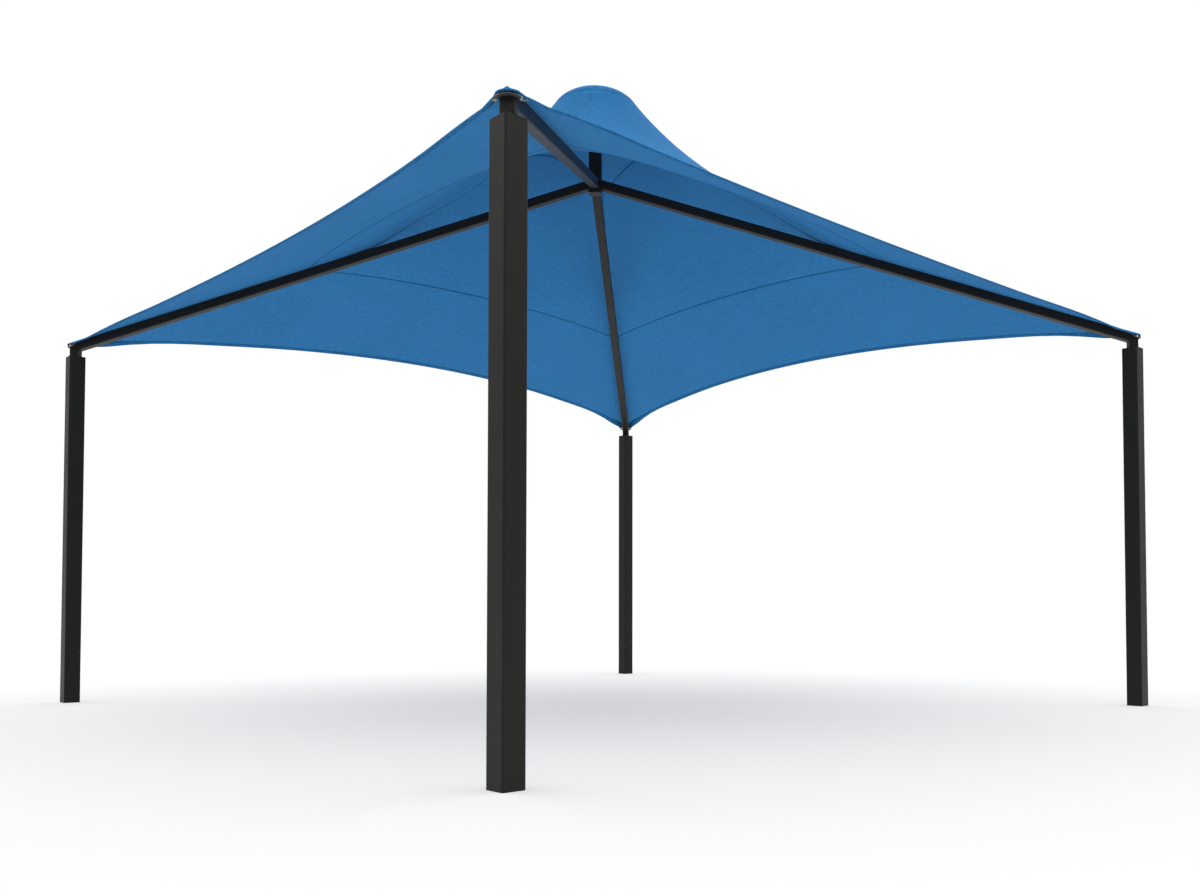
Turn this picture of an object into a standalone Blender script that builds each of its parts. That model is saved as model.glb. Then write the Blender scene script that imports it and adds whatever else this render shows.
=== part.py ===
"""Shade structure on a square plan: four square steel posts, four hip rafters that rise to a
king post, and one tensioned canopy drawn over them and over a round crown at the top.

Metres, +Z up. The origin is on the ground, in the middle of the four posts. The front is -Y.
"""

import math

import bmesh
import bpy
import numpy as np
from mathutils import Matrix, Vector

# Driving dimensions
POST_SPACING = 6.0
POST_SIZE = 0.120
POST_WALL = 0.005
POST_HEIGHT = 2.800
RAFTER_SIZE = 0.070
RAFTER_WALL = 0.004
RAFTER_TOP_AT_CENTRE = 4.210
RAFTER_FALL = 0.3047
KING_POST_SIZE = 0.100
KING_POST_FOOT = 4.095
CROWN_HALF_WIDTH = 0.357
CROWN_HEIGHT = 0.215
CROWN_SEAM_RADIUS = 0.325
CROWN_SEAM_HEIGHT = 4.792

# Steel details
TUBE_CORNER = 0.008
CAP_THICKNESS = 0.006
END_PLATE_MARGIN = 0.003
HOOP_TUBE = 0.0125
RIB_TUBE = 0.008
CROWN_DISC_RADIUS = 0.075
CROWN_DISC_THICKNESS = 0.016
CABLE_RADIUS = 0.004
CABLE_LEAD = 0.020
SADDLE_TUBE = 0.008
SADDLE_DROP = 0.022
SADDLE_HALF_TURN = math.radians(78)

# Canopy
CLOTH_THICKNESS = 0.003
CLOTH_LIFT = 0.014
CROWN_CLOTH_CLEARANCE = 0.0025
CLOTH_TIP_RADIUS = 4.286
LIFT_OFF_RADIUS = 1.75
LIFT_OFF_ROW = 6
ROWS = 14
HALF_COLUMNS = 6
ROUND_PULL = 1.79
EDGE_PULL = 2.83
RELAX_STEPS = 4000
SEAM_ROWS = (0, 2, 8, ROWS)
STRIPS = ("upper", "middle", "lower")
CROWN_RINGS = 7

# Fits
GAP = 0.0003

CORNERS = {"front_left": (-1, -1), "front_right": (1, -1), "back_right": (1, 1), "back_left": (-1, 1)}
SIDES = ("front", "right", "back", "left")
SQUARE_TO_DIAGONAL = math.sqrt(2)
POST_RADIUS = POST_SPACING / 2 * SQUARE_TO_DIAGONAL
RAFTER_SLOPE = math.atan(RAFTER_FALL)
CROWN_SEAM_TURN = math.asin(CROWN_SEAM_RADIUS / CROWN_HALF_WIDTH)


def clear_scene():
    for thing in list(bpy.data.objects):
        bpy.data.objects.remove(thing, do_unlink=True)


def make_material(name, colour, roughness, metallic):
    material = bpy.data.materials.new(name)
    material.use_nodes = True
    shader = material.node_tree.nodes["Principled BSDF"]
    shader.inputs["Base Color"].default_value = (*colour, 1.0)
    shader.inputs["Roughness"].default_value = roughness
    shader.inputs["Metallic"].default_value = metallic
    return material


def add_object(name, data, material, collection, place=None):
    thing = bpy.data.objects.new(name, data)
    data.materials.clear()
    data.materials.append(material)
    collection.objects.link(thing)
    if place is not None:
        thing.matrix_world = place
    return thing


def mesh_from_curve(curve, name):
    """The curve's evaluated mesh, with its loose caps welded on and its faces pointing out."""
    holder = bpy.data.objects.new(name, curve)
    bpy.context.scene.collection.objects.link(holder)
    bpy.context.view_layer.update()
    evaluated = holder.evaluated_get(bpy.context.evaluated_depsgraph_get())
    mesh = bpy.data.meshes.new_from_object(evaluated)
    bpy.data.objects.remove(holder, do_unlink=True)
    bpy.data.curves.remove(curve)
    work = bmesh.new()
    work.from_mesh(mesh)
    bmesh.ops.remove_doubles(work, verts=work.verts, dist=0.00001)
    bmesh.ops.recalc_face_normals(work, faces=work.faces)
    work.to_mesh(mesh)
    work.free()
    mesh.name = name
    return mesh


def rounded_square(size, corner, steps=3):
    """Outline of a square with rounded corners, counter-clockwise."""
    inset = size / 2 - corner
    points = []
    for quarter in range(4):
        middle = math.radians(45 + 90 * quarter)
        centre_x = math.copysign(inset, math.cos(middle))
        centre_y = math.copysign(inset, math.sin(middle))
        for step in range(steps + 1):
            angle = math.radians(90 * (quarter + step / steps))
            points.append((centre_x + corner * math.cos(angle), centre_y + corner * math.sin(angle)))
    return points


def extruded_outline(name, outlines, length):
    """A flat shape with these outlines, the later ones as holes, extruded along local Z."""
    curve = bpy.data.curves.new(name, "CURVE")
    curve.dimensions = "2D"
    curve.fill_mode = "BOTH"
    curve.extrude = length / 2
    for outline in outlines:
        spline = curve.splines.new("POLY")
        spline.points.add(len(outline) - 1)
        for point, (x, y) in zip(spline.points, outline):
            point.co = (x, y, 0.0, 1.0)
        spline.use_cyclic_u = True
    return mesh_from_curve(curve, name)


def frame_along(start, end, facing):
    """Placement half way from start to end: local Z along the run, local X near facing."""
    along = (end - start).normalized()
    across = along.cross(facing).normalized()
    front = across.cross(along)
    turn = Matrix((front, across, along)).transposed().to_4x4()
    return Matrix.Translation((start + end) / 2) @ turn


def square_tube(name, material, collection, size, wall, start, end, facing, start_cut=None, end_cut=None):
    """Square hollow section from start to end. A cut is the normal of the plane that ends the tube."""
    length = (end - start).length
    place = frame_along(start, end, facing)
    outlines = [rounded_square(size, TUBE_CORNER), rounded_square(size - 2 * wall, TUBE_CORNER - wall)]
    mesh = extruded_outline(name, outlines, length)
    to_local = place.to_3x3().transposed()
    for cut, level in ((start_cut, -length / 2), (end_cut, length / 2)):
        if cut is None:
            continue
        normal = to_local @ cut
        for vertex in mesh.vertices:
            if vertex.co.z * level > 0:
                vertex.co.z = level - (normal.x * vertex.co.x + normal.y * vertex.co.y) / normal.z
    return add_object(name, mesh, material, collection, place)


def plate(name, material, collection, outline, thickness, centre, turn=0.0):
    mesh = extruded_outline(name, [outline], thickness)
    place = Matrix.Translation(centre) @ Matrix.Rotation(turn, 4, "Z")
    return add_object(name, mesh, material, collection, place)


def round_bar(name, material, collection, points, radius, closed=False):
    """A round bar or cable along a chain of points."""
    curve = bpy.data.curves.new(name, "CURVE")
    curve.dimensions = "3D"
    curve.bevel_depth = radius
    curve.bevel_resolution = 2
    curve.use_fill_caps = not closed
    spline = curve.splines.new("POLY")
    spline.points.add(len(points) - 1)
    for point, place in zip(spline.points, points):
        point.co = (*place, 1.0)
    spline.use_cyclic_u = closed
    return add_object(name, mesh_from_curve(curve, name), material, collection)


def rafter_top(radius):
    """Height of a rafter's upper face at this distance from the middle, along the diagonal."""
    return RAFTER_TOP_AT_CENTRE - RAFTER_FALL * radius


def rafter_axis(radius):
    return rafter_top(radius) - RAFTER_SIZE / 2 / math.cos(RAFTER_SLOPE)


def outward(corner):
    x, y = CORNERS[corner]
    return Vector((x, y, 0)).normalized()


def build_posts(steel, collection):
    for corner, (x, y) in CORNERS.items():
        foot = Vector((x, y, 0)) * POST_SPACING / 2
        top = foot + Vector((0, 0, POST_HEIGHT - CAP_THICKNESS - GAP))
        square_tube(f"post_{corner}", steel, collection, POST_SIZE, POST_WALL, foot, top, Vector((1, 0, 0)))
        cap_middle = foot + Vector((0, 0, POST_HEIGHT - CAP_THICKNESS / 2))
        plate(
            f"post_cap_{corner}", steel, collection, rounded_square(POST_SIZE, TUBE_CORNER), CAP_THICKNESS, cap_middle
        )


def build_rafters(steel, collection):
    """Each rafter is mitred to a short upright stub that stands on its post's cap."""
    for corner in CORNERS:
        out = outward(corner)
        knee = out * POST_RADIUS + Vector((0, 0, rafter_axis(POST_RADIUS)))
        to_hub = (-out * math.cos(RAFTER_SLOPE) + Vector((0, 0, math.sin(RAFTER_SLOPE)))).normalized()
        mitre = (to_hub + Vector((0, 0, 1))).normalized()
        step = GAP / 2
        stub_foot = out * POST_RADIUS + Vector((0, 0, POST_HEIGHT + GAP))
        stub_top = knee - Vector((0, 0, step / mitre.z))
        square_tube(
            f"stub_{corner}", steel, collection, RAFTER_SIZE, RAFTER_WALL, stub_foot, stub_top, out, end_cut=mitre
        )
        low_end = knee + to_hub * step / mitre.dot(to_hub)
        high_radius = KING_POST_SIZE / 2 + GAP
        high_end = out * high_radius + Vector((0, 0, rafter_axis(high_radius)))
        square_tube(
            f"rafter_{corner}",
            steel,
            collection,
            RAFTER_SIZE,
            RAFTER_WALL,
            low_end,
            high_end,
            out,
            start_cut=mitre,
            end_cut=out,
        )


def crown_point(turn, inset=0.0):
    """Distance from the middle and height of a point under the crown's cloth.

    Seen from the side the cloth is half an ellipse, and turn is the angle from its top.
    """
    middle = CROWN_SEAM_HEIGHT - CROWN_HEIGHT * math.cos(CROWN_SEAM_TURN)
    point = Vector((CROWN_HALF_WIDTH * math.sin(turn), middle + CROWN_HEIGHT * math.cos(turn)))
    normal = Vector((math.sin(turn) / CROWN_HALF_WIDTH, math.cos(turn) / CROWN_HEIGHT)).normalized()
    return point - normal * inset


def build_king_post(steel, collection):
    """King post, its end plate, and the round crown that it carries."""
    disc_turn = math.asin(CROWN_DISC_RADIUS / CROWN_HALF_WIDTH)
    rib_inset = RIB_TUBE + CROWN_CLOTH_CLEARANCE
    rib = [crown_point(turn, rib_inset) for turn in np.linspace(disc_turn, CROWN_SEAM_TURN, CROWN_RINGS)]
    disc_level = rib[0].y

    top = Vector((0, 0, disc_level - CROWN_DISC_THICKNESS / 2 - GAP))
    foot = Vector((0, 0, KING_POST_FOOT))
    square_tube("king_post", steel, collection, KING_POST_SIZE, POST_WALL, foot, top, outward("front_right"))
    end_outline = rounded_square(KING_POST_SIZE - 2 * END_PLATE_MARGIN, TUBE_CORNER)
    end_middle = foot - Vector((0, 0, CAP_THICKNESS / 2 + GAP))
    plate("king_post_end_plate", steel, collection, end_outline, CAP_THICKNESS, end_middle, math.radians(45))

    disc = bmesh.new()
    bmesh.ops.create_cone(
        disc,
        cap_ends=True,
        segments=32,
        radius1=CROWN_DISC_RADIUS,
        radius2=CROWN_DISC_RADIUS,
        depth=CROWN_DISC_THICKNESS,
        matrix=Matrix.Translation((0, 0, disc_level)),
    )
    disc_mesh = bpy.data.meshes.new("crown_disc")
    disc.to_mesh(disc_mesh)
    disc.free()
    add_object("crown_disc", disc_mesh, steel, collection)

    hoop = crown_point(CROWN_SEAM_TURN, HOOP_TUBE + 3 * GAP)
    hoop_points = [
        (hoop.x * math.cos(turn), hoop.x * math.sin(turn), hoop.y)
        for turn in np.linspace(0, 2 * math.pi, 8 * HALF_COLUMNS, endpoint=False)
    ]
    round_bar("crown_hoop", steel, collection, hoop_points, HOOP_TUBE, closed=True)

    first_run = (rib[1] - rib[0]).normalized()
    disc_side = CROWN_DISC_RADIUS + GAP - RIB_TUBE * first_run.y
    rib[0] += first_run * (disc_side - rib[0].x) / first_run.x
    rib[-1] = hoop + (rib[-2] - hoop).normalized() * (HOOP_TUBE + 1.5 * GAP)
    for corner in CORNERS:
        points = [outward(corner) * point.x + Vector((0, 0, point.y)) for point in rib]
        round_bar(f"crown_rib_{corner}", steel, collection, points, RIB_TUBE)


def relaxed_eighth():
    """Underside of one eighth of the canopy, from the middle of the front panel to a hip.

    The cloth is a net whose knots are drawn by their neighbours. Row 0 is sewn to the crown,
    the last row is the free edge with its cable, and the last column is the hip, which lies
    on the rafter from LIFT_OFF_ROW outwards. Every free knot moves to the weighted mean of
    its neighbours until the net is in balance.
    """
    across = np.arange(HALF_COLUMNS + 1) / HALF_COLUMNS
    level = np.ones(HALF_COLUMNS + 1)
    turns = np.radians(45) * across
    crown = np.stack([np.sin(turns), -np.cos(turns), level], -1)
    crown *= (CROWN_SEAM_RADIUS, CROWN_SEAM_RADIUS, CROWN_SEAM_HEIGHT)
    tip = CLOTH_TIP_RADIUS / SQUARE_TO_DIAGONAL
    tip_level = rafter_top(CLOTH_TIP_RADIUS) + CLOTH_LIFT
    edge = np.stack([tip * across, -tip * level, tip_level * level], -1)
    down = np.arange(ROWS + 1)[:, None, None] / ROWS
    net = crown * (1 - down) + edge * down

    resting = slice(LIFT_OFF_ROW, ROWS + 1)
    hip = np.linspace(LIFT_OFF_RADIUS, CLOTH_TIP_RADIUS, ROWS + 1 - LIFT_OFF_ROW)
    side = hip / SQUARE_TO_DIAGONAL
    net[resting, -1] = np.stack([side, -side, rafter_top(hip) + CLOTH_LIFT], -1)

    mirror_middle = np.array([-1, 1, 1])
    for _ in range(RELAX_STEPS):
        beside_middle = net[:, 1:2] * mirror_middle
        beside_hip = -net[:, -2:-1, [1, 0, 2]]
        beside_hip[..., 2] *= -1
        wide = np.concatenate([beside_middle, net, beside_hip], 1)
        round_pull = wide[:, :-2] + wide[:, 2:]
        pull = ROUND_PULL * round_pull
        weight = np.full(net.shape[:2], 2 * ROUND_PULL)
        pull[1:] += net[:-1]
        pull[:-1] += net[1:]
        weight[1:] += 1
        weight[:-1] += 1
        pull[-1] += EDGE_PULL * round_pull[-1]
        weight[-1] += 2 * EDGE_PULL
        moved = pull / weight[..., None]
        moved[0] = net[0]
        moved[resting, -1] = net[resting, -1]
        net = moved
    return net


def whole_panel(eighth):
    """The front panel, from its left hip to its right hip."""
    return np.concatenate([eighth[:, :0:-1] * np.array([-1, 1, 1]), eighth], 1)


def pull_in(border, inner, distance):
    """Move a border's points towards their inner neighbours."""
    step = inner - border
    return border + step / np.linalg.norm(step, axis=-1, keepdims=True) * distance


def strip_points(panel, first, last):
    """One strip of the panel, held back from its neighbours at its seams and hips."""
    strip = panel[first : last + 1].copy()
    strip[:, 0] = pull_in(strip[:, 0], strip[:, 1], GAP)
    strip[:, -1] = pull_in(strip[:, -1], strip[:, -2], GAP)
    strip[0] = pull_in(strip[0], strip[1], GAP)
    if last != ROWS:
        strip[-1] = pull_in(strip[-1], strip[-2], GAP)
    return strip


def build_canopy(cloth, collection):
    panel = whole_panel(relaxed_eighth())
    for side, name in enumerate(SIDES):
        turn = Matrix.Rotation(math.radians(90) * side, 3, "Z")
        for strip, first, last in zip(STRIPS, SEAM_ROWS, SEAM_ROWS[1:]):
            points = strip_points(panel, first, last)
            rows, columns = points.shape[:2]
            sheet = bmesh.new()
            bmesh.ops.create_grid(sheet, x_segments=columns - 1, y_segments=rows - 1, size=1)
            for vertex in sheet.verts:
                row = round((1 - vertex.co.y) / 2 * (rows - 1))
                column = round((vertex.co.x + 1) / 2 * (columns - 1))
                vertex.co = turn @ Vector(points[row, column])
            mesh = bpy.data.meshes.new(f"canopy_{name}_{strip}")
            sheet.to_mesh(mesh)
            sheet.free()
            thing = add_object(f"canopy_{name}_{strip}", mesh, cloth, collection)
            thicken(thing)
    return panel


def thicken(thing):
    solidify = thing.modifiers.new("Cloth", "SOLIDIFY")
    solidify.thickness = CLOTH_THICKNESS
    solidify.offset = 1


def build_crown_cloth(cloth, collection):
    """Cap of cloth over the crown, from its middle to the top seam."""
    profile = [crown_point(turn) for turn in np.linspace(0, CROWN_SEAM_TURN, CROWN_RINGS)]
    profile[-1] += (profile[-2] - profile[-1]).normalized() * GAP
    cap = bmesh.new()
    arc = [cap.verts.new((0, -point.x, point.y)) for point in profile]
    edges = [cap.edges.new(pair) for pair in zip(arc, arc[1:])]
    bmesh.ops.spin(
        cap, geom=arc + edges, cent=(0, 0, 0), axis=(0, 0, 1), angle=2 * math.pi, steps=8 * HALF_COLUMNS, use_merge=True
    )
    bmesh.ops.remove_doubles(cap, verts=cap.verts, dist=0.00001)
    bmesh.ops.recalc_face_normals(cap, faces=cap.faces)
    if sum(face.normal.z for face in cap.faces) < 0:
        bmesh.ops.reverse_faces(cap, faces=cap.faces)
    mesh = bpy.data.meshes.new("canopy_crown")
    cap.to_mesh(mesh)
    cap.free()
    thicken(add_object("canopy_crown", mesh, cloth, collection))


def build_cables(panel, stainless, collection):
    """A cable in the hem of each free edge, and the saddle that takes it round each stub."""
    saddle_level = rafter_top(POST_RADIUS + RAFTER_SIZE / 2) - SADDLE_DROP
    stub_corner = (RAFTER_SIZE / 2 - TUBE_CORNER) * SQUARE_TO_DIAGONAL + TUBE_CORNER
    saddle_radius = stub_corner + SADDLE_TUBE + 2 * GAP
    for corner in CORNERS:
        out = outward(corner)
        heading = math.atan2(out.y, out.x)
        axis = out * POST_RADIUS
        turns = np.linspace(-SADDLE_HALF_TURN, SADDLE_HALF_TURN, 13) + heading
        points = [
            axis + Vector((saddle_radius * math.cos(turn), saddle_radius * math.sin(turn), saddle_level))
            for turn in turns
        ]
        round_bar(f"cable_saddle_{corner}", stainless, collection, points, SADDLE_TUBE)

    edge = panel[-1]
    run = np.gradient(edge, axis=0)
    up = np.cross(edge - panel[-2], run)
    up /= np.linalg.norm(up, axis=-1, keepdims=True)
    away = np.cross(run, up)
    away /= np.linalg.norm(away, axis=-1, keepdims=True)
    cable = edge + up * CLOTH_THICKNESS / 2 + away * (CABLE_RADIUS + 2 * GAP)
    corner = Vector((1, -1, 0)).normalized() * POST_RADIUS
    turn = math.radians(-45) - SADDLE_HALF_TURN
    heading = np.array([math.sin(turn), -math.cos(turn), 0])
    saddle_end = [corner.x + saddle_radius * math.cos(turn), corner.y + saddle_radius * math.sin(turn), saddle_level]
    end = np.array(saddle_end) + heading * 2 * GAP
    lead = end + heading * CABLE_LEAD
    mirror = np.array([-1, 1, 1])
    cable = np.stack([end * mirror, lead * mirror, *cable[1:-1], lead, end])
    for side, name in enumerate(SIDES):
        rotate = Matrix.Rotation(math.radians(90) * side, 3, "Z")
        round_bar(f"edge_cable_{name}", stainless, collection, [rotate @ Vector(p) for p in cable], CABLE_RADIUS)


def build():
    clear_scene()
    collection = bpy.data.collections.new("shade_structure")
    bpy.context.scene.collection.children.link(collection)
    steel = make_material("black_powder_coat", (0.018, 0.018, 0.017), 0.45, 0.0)
    stainless = make_material("stainless_cable", (0.60, 0.60, 0.58), 0.30, 1.0)
    cloth = make_material("blue_shade_cloth", (0.045, 0.200, 0.460), 0.85, 0.0)
    build_posts(steel, collection)
    build_rafters(steel, collection)
    build_king_post(steel, collection)
    panel = build_canopy(cloth, collection)
    build_crown_cloth(cloth, collection)
    build_cables(panel, stainless, collection)


build()
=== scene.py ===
import math

import bmesh
import bpy
import numpy as np
from mathutils import Matrix


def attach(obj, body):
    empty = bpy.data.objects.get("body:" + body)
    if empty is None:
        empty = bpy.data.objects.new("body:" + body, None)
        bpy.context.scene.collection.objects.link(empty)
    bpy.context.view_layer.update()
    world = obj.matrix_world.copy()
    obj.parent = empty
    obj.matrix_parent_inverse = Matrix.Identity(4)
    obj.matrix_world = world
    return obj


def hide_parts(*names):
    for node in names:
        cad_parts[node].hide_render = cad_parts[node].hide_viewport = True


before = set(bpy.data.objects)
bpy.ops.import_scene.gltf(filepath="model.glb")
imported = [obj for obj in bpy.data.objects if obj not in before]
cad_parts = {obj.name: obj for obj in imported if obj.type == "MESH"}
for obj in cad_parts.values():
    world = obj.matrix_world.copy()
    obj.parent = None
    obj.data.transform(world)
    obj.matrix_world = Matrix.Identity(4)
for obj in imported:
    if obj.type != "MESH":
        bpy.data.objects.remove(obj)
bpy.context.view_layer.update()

# Camera
# The eye stands 0.74 m above the ground outside the front left post and looks across the plan,
# a little upwards. The lens shift gives the photograph's framing.
EYE = (-5.702, -6.777, 0.739)
HEADING = math.radians(-42.929)
TILT = math.radians(91.888)
camera_data = bpy.data.cameras.new("camera")
camera_data.sensor_width = 36.0
camera_data.lens = 33.356
camera_data.shift_x = -0.0417
camera_data.shift_y = 0.1049
camera = bpy.data.objects.new("camera", camera_data)
camera.location = EYE
camera.rotation_euler = (TILT, 0.0, HEADING)
bpy.context.scene.collection.objects.link(camera)
bpy.context.scene.camera = camera
bpy.context.scene.view_settings.view_transform = "Standard"


# Studio
# A seamless white floor that fades into a white surround. Soft light comes from high up all
# round and, lower down, from the half beyond the structure; the half behind the eye is dark.
class Wire:
    """A socket in a node tree. Sums and products of wires add the Math nodes for them."""

    def __init__(self, tree, socket=None):
        self.tree = tree
        self.socket = socket

    def node(self, kind, setup, feeds, output=0):
        """Add a node, set it up, feed its inputs with values or wires, and give one output."""
        made = self.tree.nodes.new("ShaderNode" + kind)
        for name, value in setup.items():
            setattr(made, name, value)
        for name, value in feeds.items():
            if isinstance(value, Wire):
                self.tree.links.new(value.socket, made.inputs[name])
            else:
                made.inputs[name].default_value = value
        return Wire(self.tree, made.outputs[output]) if made.outputs else None

    def maths(self, operation, *values):
        return self.node("Math", {"operation": operation}, dict(enumerate(values)))

    def __add__(self, other):
        return self.maths("ADD", self, other)

    def __sub__(self, other):
        return self.maths("SUBTRACT", self, other)

    def __rsub__(self, other):
        return self.maths("SUBTRACT", other, self)

    def __mul__(self, other):
        return self.maths("MULTIPLY", self, other)

    __radd__ = __add__
    __rmul__ = __mul__

    def swing(self, low, high, start, stop):
        """A smooth change from start to stop while this wire goes from low to high."""
        feeds = {"Value": self, "From Min": low, "From Max": high, "To Min": start, "To Max": stop}
        return self.node("MapRange", {"interpolation_type": "SMOOTHSTEP"}, feeds)

    def blend(self, first, second):
        """The first colour where this wire is 0 and the second where it is 1."""
        feeds = {"Factor": self, 6: first, 7: second}
        return self.node("Mix", {"data_type": "RGBA"}, feeds, 2)


def grey(level):
    return (level, level, level, 1.0)


def new_material(name):
    """An empty node material, and a wire with which to fill it."""
    material = bpy.data.materials.new(name)
    material.use_nodes = True
    material.node_tree.nodes.clear()
    return material, Wire(material.node_tree)


AHEAD = (math.sin(-HEADING), math.cos(HEADING), 0.0)
world = bpy.data.worlds.new("studio")
bpy.context.scene.world = world
world.use_nodes = True
world.node_tree.nodes.clear()
sky = Wire(world.node_tree)
direction = sky.node("TexCoord", {}, {}, "Generated")
ahead = sky.node("VectorMath", {"operation": "DOT_PRODUCT"}, {0: direction, 1: AHEAD}, "Value")
height = sky.node("SeparateXYZ", {}, {"Vector": direction}, "Z")
beyond = ahead.swing(-0.38, 0.02, 0.01, 0.70)
softboxes = height.swing(0.42, 0.66, 0.0, 2.20) * height.swing(0.86, 1.0, 1.0, 0.45)
seen = sky.node("LightPath", {}, {}, "Is Camera Ray")
strength = seen + (1 - seen) * (beyond + softboxes)
light = sky.node("Background", {}, {"Color": grey(1.0), "Strength": strength})
sky.node("OutputWorld", {}, {"Surface": light})

FLOOR_SIZE = 120.0
FLOOR_DROP = 0.0005
floor_mesh = bpy.data.meshes.new("floor")
work = bmesh.new()
bmesh.ops.create_grid(work, x_segments=1, y_segments=1, size=FLOOR_SIZE / 2)
bmesh.ops.translate(work, verts=work.verts, vec=(0.0, 0.0, -FLOOR_DROP))
work.to_mesh(floor_mesh)
work.free()
floor = bpy.data.objects.new("floor", floor_mesh)
bpy.context.scene.collection.objects.link(floor)
floor_white, floor_nodes = new_material("floor_white")
floor_place = floor_nodes.node("TexCoord", {}, {}, "Object")
floor_reach = floor_nodes.node("VectorMath", {"operation": "LENGTH"}, {0: floor_place}, "Value")
floor_paint = floor_nodes.node("BsdfDiffuse", {}, {"Color": grey(0.345)})
floor_glow = floor_nodes.node("Emission", {}, {"Color": grey(1.0), "Strength": 0.41})
floor_near = floor_nodes.node("AddShader", {}, {0: floor_paint, 1: floor_glow})
floor_far = floor_nodes.node("Emission", {}, {"Color": grey(1.0), "Strength": 1.0})
fade = floor_reach.swing(3.0, 20.0, 0.0, 1.0)
floor_shade = floor_nodes.node("MixShader", {}, {0: fade, 1: floor_near, 2: floor_far})
floor_nodes.node("OutputMaterial", {}, {"Surface": floor_shade})
floor_mesh.materials.append(floor_white)


# Steel frame
# Posts, caps, stubs, rafters, king post and crown frame are square and round steel, welded and
# then powder coated satin black. The coat has a fine orange peel, an uneven gloss and fine specks.
def powder_coat(name, colour, speck):
    material, nodes = new_material(name)
    place = nodes.node("TexCoord", {}, {}, "Object")
    peel = nodes.node("TexNoise", {}, {"Vector": place, "Scale": 420.0, "Detail": 2.0})
    cloud = nodes.node("TexNoise", {}, {"Vector": place, "Scale": 7.0, "Detail": 4.0})
    dots = nodes.node("TexNoise", {}, {"Vector": place, "Scale": 900.0, "Detail": 1.0})
    paint = dots.swing(0.66, 0.74, 0.0, 1.0).blend((*colour, 1.0), (*speck, 1.0))
    normal = nodes.node("Bump", {}, {"Height": peel, "Strength": 0.25, "Distance": 0.0004})
    feeds = {
        "Base Color": paint,
        "Roughness": cloud * 0.16 + 0.36,
        "Specular IOR Level": 0.16,
        "Normal": normal,
    }
    shine = nodes.node("BsdfPrincipled", {}, feeds)
    nodes.node("OutputMaterial", {}, {"Surface": shine})
    return material


black_coat = powder_coat("black_powder_coat", (0.0145, 0.0142, 0.0128), (0.038, 0.038, 0.036))
for name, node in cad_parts.items():
    node.data.materials.clear()
    node.data.materials.append(black_coat)


# Cable fittings
# The saddles that take the cables round the stubs are bent stainless tube. Round the stub's outside,
# under the hem's hood, they are painted black and not metallic: painted shade. The two bare ends
# and the ropes are dulled by weather.
def cable_steel(name, clean, dull, painted_shade_from):
    """Weathered steel, with black painted shade where |x| + |y| is more than the given reach."""
    material, nodes = new_material(name)
    place = nodes.node("TexCoord", {}, {}, "Object")
    film = nodes.node("TexNoise", {}, {"Vector": place, "Scale": 60.0, "Detail": 4.0})
    grain = nodes.node("TexNoise", {}, {"Vector": place, "Scale": 1500.0, "Detail": 2.0})
    flat = nodes.node("SeparateXYZ", {}, {"Vector": place}, "X")
    deep = nodes.node("SeparateXYZ", {}, {"Vector": place}, "Y")
    outward = flat.maths("ABSOLUTE", flat) + deep.maths("ABSOLUTE", deep)
    # Painted shade: black and not metallic round the stub's outside, under the hood
    painted_shade = outward.swing(painted_shade_from, painted_shade_from + PAINTED_SHADE_EDGE, 0.0, 1.0)
    metal = film.swing(0.35, 0.70, 0.0, 1.0).blend((*clean, 1.0), (*dull, 1.0))
    tone = painted_shade.blend(metal, (0.011, 0.011, 0.010, 1.0))
    normal = nodes.node("Bump", {}, {"Height": grain, "Strength": 0.2, "Distance": 0.0002})
    rough = (1 - painted_shade) * (film * 0.25 + 0.16) + painted_shade * 0.55
    feeds = {"Base Color": tone, "Metallic": 1 - painted_shade, "Roughness": rough, "Normal": normal}
    shine = nodes.node("BsdfPrincipled", {}, feeds)
    nodes.node("OutputMaterial", {}, {"Surface": shine})
    return material


POST_SPACING = 6.0
# The saddles' painted shade starts 20.5 mm out from the post's axis, along the diagonal
PAINTED_SHADE_OUT = 0.0205
PAINTED_SHADE_EDGE = 0.0006
PAINTED_SHADE_FROM = POST_SPACING + PAINTED_SHADE_OUT * math.sqrt(2)
NO_PAINTED_SHADE = 9.0
saddle_steel = cable_steel("saddle_with_painted_shade", (0.50, 0.50, 0.49), (0.38, 0.37, 0.35), PAINTED_SHADE_FROM)
rope_steel = cable_steel("weathered_rope", (0.14, 0.14, 0.135), (0.08, 0.08, 0.075), NO_PAINTED_SHADE)
CORNERS = ("front_left", "front_right", "back_right", "back_left")
for corner in CORNERS:
    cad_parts[f"cable_saddle_{corner}"].data.materials[0] = saddle_steel


# Canopy shape
# The cover is drawn between the crown's seam, the rafters and the cables in its free edges. It
# takes the shape of a net in balance, and it lies flat where it crosses a rafter's top.
SEAM_RADIUS = 0.325
SEAM_HEIGHT = 4.792
RAFTER_TOP_AT_CENTRE = 4.210
RAFTER_FALL = 0.3047
TIP_RADIUS = 4.286
TIP_LIFT = 0.014
LIFT_OFF_RADIUS = 1.75
LIFT_OFF_ROW = 6
ROWS = 14
HALF_COLUMNS = 6
ROUND_PULL = 1.79
EDGE_PULL = 2.83
NECK_PULL = 0.4
COARSE_STEPS = 4000
FINE_STEPS = 1200
EIGHTH = math.radians(45)
MIRROR = np.array((-1, 1, 1))
UP = np.array((0.0, 0.0, 1.0))


def rafter_top(radius):
    return RAFTER_TOP_AT_CENTRE - RAFTER_FALL * radius


def unit(vectors):
    return vectors / np.linalg.norm(vectors, axis=-1, keepdims=True)


def ease(value, low, high):
    """A smooth step from 0 at low to 1 at high."""
    part = np.clip((value - low) / (high - low), 0, 1)
    return part * part * (3 - 2 * part)


def along(points):
    """Distance of each point from the first, along the chain of points."""
    steps = np.linalg.norm(np.diff(points, axis=0), axis=-1)
    return np.concatenate([steps[:1] * 0, np.cumsum(steps, axis=0)])


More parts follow.
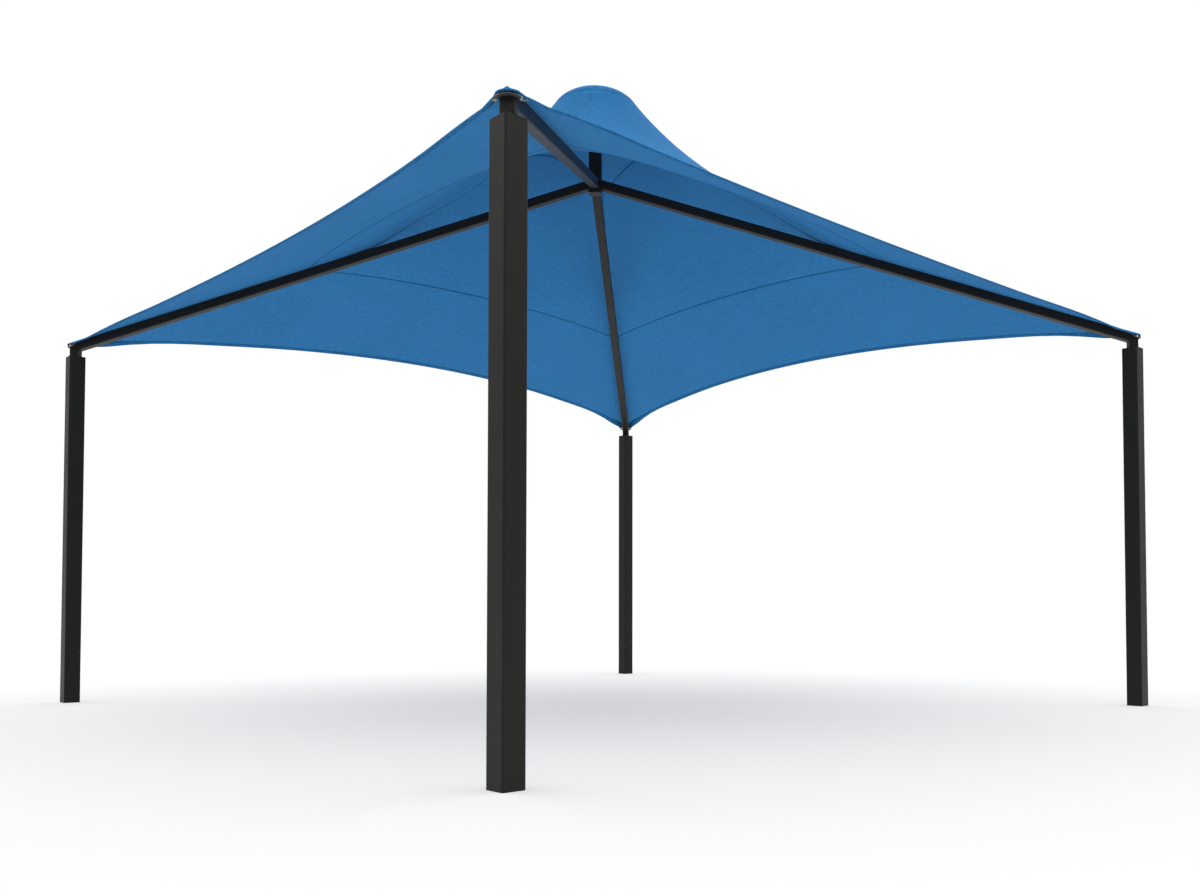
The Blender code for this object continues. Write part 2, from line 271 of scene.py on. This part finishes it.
def curve_through(knots, values, where):
    """Read, at these places, the smooth cubic curve that takes these values at the knots."""
    gaps = np.diff(knots)
    slopes = np.diff(values, axis=0) / gaps[:, None]
    system = np.eye(len(knots))
    for row in range(1, len(knots) - 1):
        system[row, row - 1 : row + 2] = (gaps[row - 1], 2 * (gaps[row - 1] + gaps[row]), gaps[row])
    bends = 6 * np.diff(slopes, axis=0)
    bends = np.linalg.solve(system, np.concatenate([bends[:1] * 0, bends, bends[:1] * 0]))
    index = np.clip(np.searchsorted(knots, where, side="right") - 1, 0, len(knots) - 2)
    gap = gaps[index][:, None]
    part = (where - knots[index])[:, None]
    first, second = bends[index], bends[index + 1]
    start = slopes[index] - gap * (2 * first + second) / 6
    return values[index] + part * (start + part * (first / 2 + part * (second - first) / (6 * gap)))


def read_chain(places, knots, chain):
    """Read a chain of points in straight lines, at these places among its knots."""
    return np.stack([np.interp(places, knots, chain[:, axis]) for axis in range(3)], -1)


def seam_ring(count):
    turns = np.linspace(0, EIGHTH, count)
    level = 0 * turns + SEAM_HEIGHT
    return np.stack([SEAM_RADIUS * np.sin(turns), -SEAM_RADIUS * np.cos(turns), level], -1)


def settle(net, steps, neck_pull=0.0, free_edge=None):
    """Let the knots of one eighth of the net find their balance. A given free edge stays put."""
    lift_off = LIFT_OFF_ROW * (len(net) - 1) // ROWS
    hip = np.linspace(LIFT_OFF_RADIUS, TIP_RADIUS, len(net) - lift_off)
    hip_line = np.stack([hip, -hip, (rafter_top(hip) + TIP_LIFT) * math.sqrt(2)], -1) / math.sqrt(2)
    nearness = np.clip(1 - np.arange(len(net)) / lift_off, 0, 1)
    round_pull = (ROUND_PULL + neck_pull * nearness**2)[:, None]

    def hold(net):
        net[0] = seam_ring(net.shape[1])
        net[lift_off:, -1] = hip_line
        if free_edge is not None:
            net[-1] = free_edge

    for _ in range(steps):
        hold(net)
        over_middle = net[:, 1:2] * MIRROR
        over_hip = net[:, -2:-1, [1, 0, 2]] * (-1, -1, 1)
        wide = np.concatenate([over_middle, net, over_hip], 1)
        beside = wide[:, :-2] + wide[:, 2:]
        pull = round_pull[..., None] * beside
        weight = 2 * round_pull + np.zeros(net.shape[:2])
        pull[1:] += net[:-1]
        pull[:-1] += net[1:]
        weight[1:] += 1
        weight[:-1] += 1
        pull[-1] += EDGE_PULL * beside[-1]
        weight[-1] += 2 * EDGE_PULL
        net = pull / weight[..., None]
    hold(net)
    return net


across = np.linspace(0, 1, HALF_COLUMNS + 1)
tip_side = TIP_RADIUS / math.sqrt(2)
tip_level = rafter_top(TIP_RADIUS) + TIP_LIFT
straight_edge = np.stack([tip_side * across, 0 * across - tip_side, 0 * across + tip_level], -1)
down = np.linspace(0, 1, ROWS + 1)[:, None, None]
coarse = settle(seam_ring(HALF_COLUMNS + 1) * (1 - down) + straight_edge * down, COARSE_STEPS)

# A finer net with the same free edge, settled again
knots = np.arange(-HALF_COLUMNS, HALF_COLUMNS + 1.0)
whole_edge = np.concatenate([coarse[-1, :0:-1] * MIRROR, coarse[-1]])
fine_edge = curve_through(knots, whole_edge, np.linspace(0, HALF_COLUMNS, 2 * HALF_COLUMNS + 1))
fine = np.repeat(np.repeat(coarse, 2, 0)[:-1], 2, 1)[:, :-1]
fine[1::2] = (fine[2::2] + fine[:-1:2]) / 2
fine[:, 1::2] = (fine[:, 2::2] + fine[:, :-1:2]) / 2
fine = settle(fine, FINE_STEPS, NECK_PULL, fine_edge)

# Columns of the cloth's grid run down the slope, beside the rafter, at these distances from it
NEAR_COLUMNS = np.array([0.0, 0.013, 0.024, 0.0275, 0.031, 0.036, 0.046, 0.065, 0.095, 0.140])
FAR_COLUMNS = 20
FULL_WIDTH = 0.85
READINGS = 400


def beside_hip(points):
    return np.abs(points[..., 0] + points[..., 1]) / math.sqrt(2)


columns = []
row_knots = np.arange(4.0 * HALF_COLUMNS + 1)
for row in fine:
    whole = np.concatenate([row[::-1], row[1:] * MIRROR])
    places = np.linspace(0, 2 * HALF_COLUMNS, READINGS)
    reached = beside_hip(curve_through(row_knots, whole, places))
    near = NEAR_COLUMNS * min(1, reached[-1] / FULL_WIDTH)
    wanted = np.concatenate([near, np.linspace(near[-1], reached[-1], FAR_COLUMNS + 1)[1:]])
    columns.append(curve_through(row_knots, whole, np.interp(wanted, reached, places)))
columns = np.array(columns)

# Rows of the grid run along the eaves: crown seam, two seams, hem stitching, free edge
SEAM_PLACES = (0.52, 1.66)
ROWS_BETWEEN = (8, 24, 26, 2)
HEM_WIDTH = 0.032
column_knots = np.arange(2.0 * ROWS + 1)
grid = []
for index in range(columns.shape[1]):
    column = columns[:, index]
    if index < columns.shape[1] - 1:
        beside = columns[-1, index + 1] - column[-1]
    slant = math.sqrt(1 - np.dot(unit(beside), unit(column[-2] - column[-1])) ** 2)
    length = along(column)
    marks = [0.0]
    marks += [np.interp(place, -column[:, 1], column_knots) for place in SEAM_PLACES]
    marks += [np.interp(length[-1] - HEM_WIDTH / slant, length, column_knots), column_knots[-1]]
    places = []
    for low, high, count in zip(marks, marks[1:], ROWS_BETWEEN):
        places.append(np.linspace(low, high, count + 1)[:-1])
    grid.append(curve_through(column_knots, column, np.concatenate([*places, marks[-1:]])))
grid = np.array(grid).transpose(1, 0, 2)
UPPER_SEAM, LOWER_SEAM, HEM_ROW = np.cumsum(ROWS_BETWEEN)[:3]

# Over the rafter the cloth lies flat, bends round the tube's edges and eases back to the net.
# Inside it lifts off in a long curve, and at the tip it stands clear of the mitred corner.
REST_HEIGHT = 0.0016
BEND_START = 0.027
BEND_RADIUS = 0.0092
EASE_OUT = 0.11
LIFT_HEIGHT = 0.034
LIFT_WIDTH = 0.32
LIFT_FROM, LIFT_PEAK, LIFT_TO = 0.95, 1.45, 1.95
LYING_START = (1.85, 2.10)
LYING_END = (3.95, 4.20)
BEND_COLUMN = 4


def along_hip(points):
    return (points[..., 0] - points[..., 1]) / math.sqrt(2)


def resting(beside):
    """Height over the rafter's top of cloth that lies on it, this far beside the rafter's middle."""
    return REST_HEIGHT - np.clip(beside - BEND_START, 0, None) ** 2 / (2 * BEND_RADIUS)


radius = along_hip(grid)
beside = beside_hip(grid)
rest = resting(beside) - (grid[..., 2] - rafter_top(radius))
rest[:, BEND_COLUMN:] = rest[:, BEND_COLUMN : BEND_COLUMN + 1]
lying = ease(radius, *LYING_START) * (1 - ease(radius, *LYING_END))
lift = LIFT_HEIGHT * ease(radius, LIFT_FROM, LIFT_PEAK) * (1 - ease(radius, LIFT_PEAK, LIFT_TO))
fade = np.exp(-np.clip(beside - NEAR_COLUMNS[BEND_COLUMN], 0, None) / EASE_OUT)
wide_fade = np.exp(-((beside / LIFT_WIDTH) ** 2))
grid[..., 2] += lying * rest * fade + lift * wide_fade


# Canopy mesh
# The cover is one sheet of knitted polyethylene, 1.2 mm thick. Its free edges are turned round
# the edge cables and sewn down, and at each tip the hem is drawn round the outside of the stub.
CLOTH = 0.0012
POST_RADIUS = POST_SPACING / math.sqrt(2)
CABLE_RADIUS = 0.004
CABLE_OUT = 0.0046
CABLE_UP = 0.0015
SADDLE_RADIUS = 0.0548
SADDLE_LEVEL = 2.8846
SADDLE_HALF_TURN = math.radians(78)
CABLE_LEAD = 0.020
HOOD_RADIUS = 0.058
HOOD_LEVEL = 2.902
HOOD_REACH = 0.20
ROPE_DIP = 0.06
POCKET_RADIUS = 0.0054
HOOD_POCKET = 0.0040
HOOD_POCKET_SPAN = (0.07, 0.14)
FOLD_REACH = 0.075
STUB_HALF = 0.035
STEEL_END = 0.034
TIP_RAISE = 0.007
TIP_SPAN = (4.18, 4.26)
TIP_END = 4.29
TIP_HALF_WIDTH = 0.034
PEAK_RISE = 0.0125
PEAK_REACH = 0.038

# Middle line of the cable from the middle of the edge to the saddle's end, and of the hem's fold
run = np.gradient(whole_edge, axis=0)
before = fine[-2, ::2]
inner_edge = np.concatenate([before[:0:-1] * MIRROR, before])
lifted = unit(np.cross(whole_edge - inner_edge, run))
cable_knots = whole_edge + lifted * CABLE_UP + unit(np.cross(run, lifted)) * CABLE_OUT


def at_corner(radius, side, level):
    """A point by its distance along the front right diagonal, its distance beside it, and height."""
    radius, side, level = np.broadcast_arrays(radius, side, level)
    return np.stack([(radius - side) / math.sqrt(2), -(radius + side) / math.sqrt(2), level], -1)


saddle_end = at_corner(
    POST_RADIUS + SADDLE_RADIUS * math.cos(SADDLE_HALF_TURN),
    SADDLE_RADIUS * math.sin(SADDLE_HALF_TURN),
    SADDLE_LEVEL,
)
heading = at_corner(-math.sin(SADDLE_HALF_TURN), math.cos(SADDLE_HALF_TURN), 0.0)
lead = saddle_end + heading * CABLE_LEAD
cable_knots = np.concatenate([[lead * MIRROR], cable_knots[1:-1], [lead]])
cable_length = along(cable_knots)
middle = cable_length[-1] / 2
cable_run = curve_through(cable_length, cable_knots, middle + middle * np.linspace(0, 1, READINGS))
from_lead = np.linalg.norm(cable_run - lead, axis=-1)
hood_turns = np.linspace(SADDLE_HALF_TURN, 0, 30)
hood_out = POST_RADIUS + HOOD_RADIUS * np.cos(hood_turns)
hood = at_corner(hood_out, HOOD_RADIUS * np.sin(hood_turns), HOOD_LEVEL)
near_hood = (1 - ease(from_lead, 0, HOOD_REACH))[:, None]
sideways = at_corner(0.0, HOOD_RADIUS - SADDLE_RADIUS, 0.0)
raised = near_hood * (UP * (HOOD_LEVEL - SADDLE_LEVEL) + sideways)
fold_run = np.concatenate([cable_run + raised, hood[1:]])
cable_run = cable_run + raised * ease(from_lead, 0, ROPE_DIP)[:, None]

# The grid's free edge moves to the fold, and the cloth near it follows
old_edge = grid[-1].copy()
reached = beside_hip(fold_run)[::-1]
new_edge = read_chain(beside_hip(old_edge), reached, fold_run[::-1])
new_edge[-1] = fold_run[0]
from_edge = along(grid[::-1])[::-1]
grid += (new_edge - old_edge) * (1 - ease(from_edge, 0, FOLD_REACH))[..., None]
radius = along_hip(grid)
beside = beside_hip(grid)
rest = rafter_top(radius) + resting(beside)
on_steel = (beside < STUB_HALF) & (radius > LIFT_OFF_RADIUS) & (radius < POST_RADIUS + STEEL_END)
grid[..., 2] = np.where(on_steel, np.maximum(grid[..., 2], rest), grid[..., 2])
at_tip = ease(radius, *TIP_SPAN) * (radius < TIP_END)
grid[..., 2] += TIP_RAISE * at_tip * np.clip(1 - beside / TIP_HALF_WIDTH, 0, 1)

edge = grid[-1]
edge_run = np.gradient(edge, axis=0)
edge_run[0] = at_corner(0.0, 1.0, 0.0)
edge_run[-1] = (-1, 0, 0)
edge_run = unit(edge_run)
inward = grid[HEM_ROW] - edge
inward = unit(inward - np.sum(inward * edge_run, -1, keepdims=True) * edge_run)
lifted = np.cross(inward, edge_run)
lifted = unit(lifted * np.sign(lifted[:, 2:]))
from_tip = along(edge)
pocket = HOOD_POCKET + (POCKET_RADIUS - HOOD_POCKET) * ease(from_tip, *HOOD_POCKET_SPAN)
peak = PEAK_RISE * np.clip(1 - from_tip / PEAK_REACH, 0, 1)


def hem_row(distance, rise):
    """A row of the hem, this far inwards from the cable's middle and this far off the cloth."""
    return edge + inward * (distance + 0 * pocket)[:, None] + lifted * (rise + 0 * pocket)[:, None]


# Beside the pocket: distance in, and shares of the pocket's radius and of the tip's peak
FAR_IN, FAR_SHARE = 0.020, 0.10
NEAR_IN, NEAR_SHARE, NEAR_PEAK = 0.012, 0.48, 0.7
FAR_GAP, NEAR_GAP, UNDER_GAP = 0.0013, 0.0006, 0.0003
hem = [
    hem_row(FAR_IN, FAR_SHARE * pocket + peak),
    hem_row(NEAR_IN, NEAR_SHARE * pocket + NEAR_PEAK * peak),
]
for turn in np.radians(np.arange(50, 311, 26)):
    hem.append(hem_row(pocket * math.cos(turn), pocket * math.sin(turn)))
hem.append(hem_row(NEAR_IN, NEAR_PEAK * peak - NEAR_SHARE * pocket - NEAR_GAP))
hem.append(hem_row(FAR_IN, peak - FAR_SHARE * pocket - FAR_GAP))
hem.append(grid[HEM_ROW] - lifted * (CLOTH + UNDER_GAP))
sheet = np.concatenate([grid[: HEM_ROW + 1], hem])
panel = np.concatenate([sheet[:, :-1] * MIRROR, sheet[:, ::-1]], 1)


def grid_mesh(points, spread=None):
    """A bmesh sheet with its vertices at these points, rows by columns. spread gives its UV map."""
    rows, width = points.shape[:2]
    work = bmesh.new()
    bmesh.ops.create_grid(work, x_segments=width - 1, y_segments=rows - 1, size=1.0)
    place = {}
    for vertex in work.verts:
        row = round((1 - vertex.co.y) / 2 * (rows - 1))
        column = round((vertex.co.x + 1) / 2 * (width - 1))
        place[vertex] = (row, column)
        vertex.co = points[row, column]
    if spread is not None:
        layer = work.loops.layers.uv.new("weave")
        for face in work.faces:
            for loop in face.loops:
                loop[layer].uv = spread[place[loop.vert]]
    return work


def face_up(work):
    """Turn a sheet over if it looks down on the whole."""
    if sum(face.normal.z * face.calc_area() for face in work.faces) < 0:
        bmesh.ops.reverse_faces(work, faces=work.faces)


UPRIGHT = {"cent": (0, 0, 0), "axis": (0, 0, 1)}


def all_four_sides(work):
    """Repeat the front's mesh on the other three sides."""
    geometry = work.verts[:] + work.edges[:] + work.faces[:]
    bmesh.ops.spin(work, geom=geometry, **UPRIGHT, angle=math.radians(270), steps=3, use_duplicate=True)


def add_piece(name, work, material, replaced=(), thickness=0.0):
    mesh = bpy.data.meshes.new(name)
    work.to_mesh(mesh)
    work.free()
    mesh.materials.append(material)
    mesh.shade_smooth()
    piece = bpy.data.objects.new(name, mesh)
    bpy.context.scene.collection.objects.link(piece)
    if thickness:
        shell = piece.modifiers.new("thickness", "SOLIDIFY")
        shell.thickness = thickness
        shell.offset = 0.0
    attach(piece, "root")
    if replaced:
        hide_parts(*replaced)
    return piece


def knitted_cloth(name, first, second):
    """Knitted cloth by its UV map in metres: weft streaks along the eaves, speckle and a fine knit."""
    material, nodes = new_material(name)
    weave = nodes.node("UVMap", {"uv_map": "weave"}, {}, "UV")
    streaks_at = nodes.node("Mapping", {}, {"Vector": weave, "Scale": (5.0, 90.0, 1.0)})
    streaks = nodes.node("TexNoise", {}, {"Vector": streaks_at, "Scale": 1.0, "Detail": 2.0})
    speckle = nodes.node("TexNoise", {}, {"Vector": weave, "Scale": 62.0, "Detail": 3.0, "Roughness": 0.6})
    broad = nodes.node("TexNoise", {}, {"Vector": weave, "Scale": 1.4, "Detail": 2.0})
    patches = nodes.node("TexNoise", {}, {"Vector": weave, "Scale": 24.0, "Detail": 1.0})
    knit_at = nodes.node("Mapping", {}, {"Vector": weave, "Scale": (330.0, 200.0, 1.0)})
    knit = nodes.node("TexVoronoi", {}, {"Vector": knit_at, "Scale": 1.0, "Randomness": 0.35}, "Distance")
    tone = speckle * 0.40 + patches * 0.25 + streaks * 0.25 + broad * 0.10
    paint = tone.swing(0.39, 0.61, 0.0, 1.0).blend((*first, 1.0), (*second, 1.0))
    relief = knit * 0.6 + speckle * 0.8 + streaks * 0.4
    normal = nodes.node("Bump", {}, {"Height": relief, "Strength": 0.35, "Distance": 0.0012})
    feeds = {"Base Color": paint, "Roughness": 0.78, "Specular IOR Level": 0.05, "Normal": normal}
    surface = nodes.node("BsdfPrincipled", {}, feeds)
    through = nodes.node("BsdfTranslucent", {}, {"Color": (0.26, 0.45, 0.62, 1.0)})
    both = nodes.node("MixShader", {}, {0: 0.33, 1: surface, 2: through})
    nodes.node("OutputMaterial", {}, {"Surface": both})
    return material


blue_cloth = knitted_cloth("blue_shade_cloth", (0.021, 0.166, 0.400), (0.030, 0.237, 0.560))
fall = along(sheet[:, -1])
spread = np.stack([panel[..., 0], fall[:, None] + 0 * panel[..., 0]], -1)
SIDES = ("front", "right", "back", "left")
work = grid_mesh(panel, spread)
face_up(work)
all_four_sides(work)
bmesh.ops.remove_doubles(work, verts=work.verts, dist=0.00002)
strips = [f"canopy_{side}_{strip}" for side in SIDES for strip in ("upper", "middle", "lower")]
cover = add_piece("canopy_cover", work, blue_cloth, strips, CLOTH)

# Crown cap
# A round cap of the same cloth is stretched over the hoop and ribs, and its edge laps over the
# cover's top edge.
CROWN_HALF_WIDTH = 0.357
CROWN_HEIGHT = 0.215
CAP_LIFT = 0.0022
LAP = 0.024
CAP_STEPS = 120
seam_turn = math.asin(SEAM_RADIUS / CROWN_HALF_WIDTH)
crown_middle = SEAM_HEIGHT - CROWN_HEIGHT * math.cos(seam_turn)
turns = np.linspace(0, seam_turn, 24)
dome_level = crown_middle + CROWN_HEIGHT * np.cos(turns)
dome = np.stack([0 * turns, -CROWN_HALF_WIDTH * np.sin(turns), dome_level], -1)
dome += CAP_LIFT * np.stack([0 * turns, -np.sin(turns), np.cos(turns)], -1)
slope = unit(grid[1, -1] - grid[0, -1])
off_cover = np.array([0.0, slope[2], -slope[1]]) * np.sign(-slope[1])
reaches = np.linspace(0.3, 1.0, 4)[:, None] * LAP
lap = grid[0, -1] + slope * reaches + off_cover * CLOTH
profile = np.concatenate([dome, lap])
work = bmesh.new()
dots = [work.verts.new(place) for place in profile]
runs = [work.edges.new(pair) for pair in zip(dots, dots[1:])]
turn = math.radians(360)
bmesh.ops.spin(work, geom=dots + runs, **UPRIGHT, angle=turn, steps=CAP_STEPS, use_merge=True)
bmesh.ops.remove_doubles(work, verts=work.verts, dist=0.00002)
bmesh.ops.recalc_face_normals(work, faces=work.faces)
face_up(work)
layer = work.loops.layers.uv.new("weave")
for face in work.faces:
    for loop in face.loops:
        loop[layer].uv = loop.vert.co.xy
cap = add_piece("canopy_crown_cap", work, blue_cloth, ["canopy_crown"], CLOTH)

# Seams
# The strips are lapped and sewn to each other along the eaves, and the four sides are joined
# over the rafters. Each seam is a double layer of cloth 13 mm wide. The eaves seams are coloured
# a darker blue than the cloth: painted shade for the lesser light that comes through two layers.
SEAM_HALF_WIDTH = 0.0065
SEAM_THICKNESS = 0.0028
SEAM_DROP = 0.0012
# Painted shade: a darker blue for the double layer, which lets less light through
shaded_seam_cloth = knitted_cloth("blue_seam_cloth_painted_shade", (0.020, 0.135, 0.330), (0.027, 0.180, 0.430))


def tape(name, points, material):
    """A sewn band, its rows across the seam and its columns along it."""
    flat = np.stack([along(points[0])[None, :] + 0 * points[..., 0], along(points)], -1)
    work = grid_mesh(points, flat)
    face_up(work)
    all_four_sides(work)
    return add_piece(name, work, material, (), SEAM_THICKNESS)


def band(row):
    """Three rows of points for a band along this row of the panel."""
    step = unit(panel[row + 1] - panel[row - 1]) * SEAM_HALF_WIDTH
    return np.stack([panel[row] - step, panel[row], panel[row] + step]) - UP * SEAM_DROP


def over_hip_line(points):
    return points[..., [1, 0, 2]] * (-1, -1, 1)


upper_tape = tape("seam_upper", band(UPPER_SEAM), shaded_seam_cloth)
lower_tape = tape("seam_lower", band(LOWER_SEAM), shaded_seam_cloth)
hip_band = sheet[: HEM_ROW + 1, :2].transpose(1, 0, 2).copy()
hip_band[1] = (hip_band[0] + hip_band[1]) / 2
hip_band = np.concatenate([over_hip_line(hip_band[:0:-1]), hip_band])
hip_tape = tape("seam_hips", hip_band, blue_cloth)

# Edge cables
# A wire rope lies in the hem of each free edge. It leaves the hem short of the stub and ends in
# a swaged stud, whose nut bears on the saddle. Only its two ends show, and they have strands.
ROPE_SIDES = 12
STRAND_DEPTH = 0.14
STRAND_PITCH = 0.005
STRANDED_LENGTH = 0.14
PLAIN_STATIONS = 50
SADDLE_GAP = 0.0006


def tube(points, radii, sides, twist=0.0, ribs=0.0):
    """Rings of vertices round a chain of points, for grid_mesh. ribs makes every second one lower."""
    points = np.asarray(points)
    run = unit(np.gradient(points, axis=0))
    side = unit(np.cross(run, UP))
    rise = np.cross(side, run)
    turns = np.linspace(0, 2 * math.pi, sides + 1)[None, :] + twist * np.arange(len(points))[:, None]
    radii = (np.asarray(radii) + np.zeros(len(points)))[:, None]
    radii = radii * (1 - ribs * (np.arange(sides + 1) % 2))[None, :]
    round_it = np.cos(turns)[..., None] * side[:, None] + np.sin(turns)[..., None] * rise[:, None]
    return points[:, None] + radii[..., None] * round_it


def closed(points):
    """A bmesh of a tube, its seam and its two ends closed and its faces pointing outwards."""
    work = grid_mesh(points)
    bmesh.ops.remove_doubles(work, verts=work.verts, dist=0.00001)
    bmesh.ops.holes_fill(work, edges=[edge for edge in work.edges if edge.is_boundary], sides=0)
    bmesh.ops.recalc_face_normals(work, faces=work.faces)
    return work


def gathered(shapes):
    """Closed tubes of these points in one bmesh, repeated on all four sides."""
    work = bmesh.new()
    for shape in shapes:
        piece = closed(shape)
        holder = bpy.data.meshes.new("holder")
        piece.to_mesh(holder)
        piece.free()
        work.from_mesh(holder)
        bpy.data.meshes.remove(holder)
    all_four_sides(work)
    return work


cable_half = np.concatenate([cable_run, [saddle_end + heading * SADDLE_GAP]])
half_length = along(cable_half)
stranded = np.arange(half_length[-1] - STRANDED_LENGTH, half_length[-1], STRAND_PITCH)
plain = np.linspace(0, stranded[0], PLAIN_STATIONS)[:-1]
stations = np.concatenate([plain, stranded, half_length[-1:]])
rope_half = read_chain(stations, half_length, cable_half)
rope = np.concatenate([rope_half[:0:-1] * MIRROR, rope_half])
for turn, side in enumerate(SIDES):
    work = closed(tube(rope, CABLE_RADIUS, ROPE_SIDES, math.radians(30), STRAND_DEPTH))
    quarter_turns = Matrix.Rotation(math.radians(90) * turn, 3, "Z")
    bmesh.ops.rotate(work, verts=work.verts, cent=(0, 0, 0), matrix=quarter_turns)
    add_piece(f"edge_rope_{side}", work, rope_steel, [f"edge_cable_{side}"])

STUD_RADIUS = 0.0055
NUT_RADIUS = 0.0084
STUD_STATIONS = (0.0010, 0.0095, 0.0100, 0.0185)
stud_path = [saddle_end + heading * distance for distance in STUD_STATIONS]
stud = tube(stud_path, (NUT_RADIUS, NUT_RADIUS, STUD_RADIUS, STUD_RADIUS), 6)
studs = add_piece("cable_studs", gathered((stud, stud * MIRROR)), rope_steel)
studs.data.shade_flat()

# Weld beads
# Each stub is fillet welded to its cap, and each rafter is butt welded to its stub at the mitre.
# The beads are rippled, and coated with the frame.
STUB_CORNER = 0.008
STUB_FOOT = 2.8003
SLOPE = math.atan(RAFTER_FALL)
KNEE_LEVEL = rafter_top(POST_RADIUS) - STUB_HALF / math.cos(SLOPE)
MITRE_RISE = math.cos(SLOPE) / (1 + math.sin(SLOPE))
RIPPLE_DEPTH = 0.12
RIPPLE_PITCH = 0.0028
BEAD_STATIONS = 240
turns = np.linspace(0, 2 * math.pi, 161)
middles = [np.sign(part) * (STUB_HALF - STUB_CORNER) for part in (np.cos(turns), np.sin(turns))]


def bead(stand_off, level, rise, thickness):
    """A bead round the stub, off its faces by stand_off, and rising outwards by rise."""
    out = middles[0] + (STUB_CORNER + stand_off) * np.cos(turns)
    side = middles[1] + (STUB_CORNER + stand_off) * np.sin(turns)
    path = at_corner(POST_RADIUS + out, side, level + rise * out)
    length = along(path)
    even = np.linspace(0, length[-1], BEAD_STATIONS)
    path = read_chain(even, length, path)
    return tube(path, thickness * (1 + RIPPLE_DEPTH * np.sin(even / RIPPLE_PITCH * math.pi)), 8)


foot_bead = bead(stand_off=0.001, level=STUB_FOOT + 0.0005, rise=0.0, thickness=0.0035)
mitre_bead = bead(stand_off=-0.0006, level=KNEE_LEVEL, rise=MITRE_RISE, thickness=0.0018)
add_piece("weld_beads", gathered((foot_bead, mitre_bead)), black_coat)

# Sewing thread
# Two rows of lock stitch run along the cover's seams and hems. The thread shows as a short dash
# on one face of the cloth, then on the other.
THREAD_RADIUS = 0.0005
STITCH = 0.0035
thread_blue, thread_nodes = new_material("blue_thread")
thread_at = thread_nodes.node("TexCoord", {}, {}, "Object")
thread_tone = thread_nodes.node("TexNoise", {}, {"Vector": thread_at, "Scale": 300.0, "Detail": 2.0})
thread_mix = thread_tone.swing(0.3, 0.7, 0.0, 1.0)
thread_paint = thread_mix.blend((0.020, 0.150, 0.360, 1.0), (0.028, 0.190, 0.450, 1.0))
thread_feeds = {"Base Color": thread_paint, "Roughness": 0.5, "Specular IOR Level": 0.3}
thread_shine = thread_nodes.node("BsdfPrincipled", {}, thread_feeds)
thread_nodes.node("OutputMaterial", {}, {"Surface": thread_shine})


def sew(name, lines, dip):
    """Thread along these lines of points, dipping through the cloth by this much each way."""
    threads = []
    for line in lines:
        length = along(line)
        path = read_chain(np.arange(0, length[-1], STITCH), length, line)
        run = unit(np.gradient(path, axis=0))
        rise = np.cross(unit(np.cross(run, UP)), run)
        weave = np.where(np.arange(len(path)) % 4 < 2, 1.0, -1.0)[:, None]
        threads.append(tube(path + rise * weave * dip, THREAD_RADIUS, 3))
    return add_piece(name, gathered(threads), thread_blue)


def shifted(row, distance):
    """A row of the panel, moved this far down the slope."""
    return panel[row] + unit(panel[row + 1] - panel[row - 1]) * distance


ROW_OFFSET = 0.0045
SEAM_DIP = SEAM_THICKNESS / 2 + 0.0002
HEM_DIP = CLOTH * 1.3
HEM_STITCHING = (0.001, 0.008)
both_seams = (UPPER_SEAM, LOWER_SEAM)
seam_lines = [shifted(row, offset) for row in both_seams for offset in (-ROW_OFFSET, ROW_OFFSET)]
seam_thread = sew("seam_thread", seam_lines, SEAM_DIP)
hem_thread = sew("hem_thread", [shifted(HEM_ROW, offset) for offset in HEM_STITCHING], HEM_DIP)
hip_line = sheet[: HEM_ROW + 1, 0]
hip_side = np.array([1.0, 1.0, 0.0]) / math.sqrt(2) * ROW_OFFSET
hip_thread = sew("hip_thread", [hip_line - hip_side, hip_line + hip_side], SEAM_DIP)
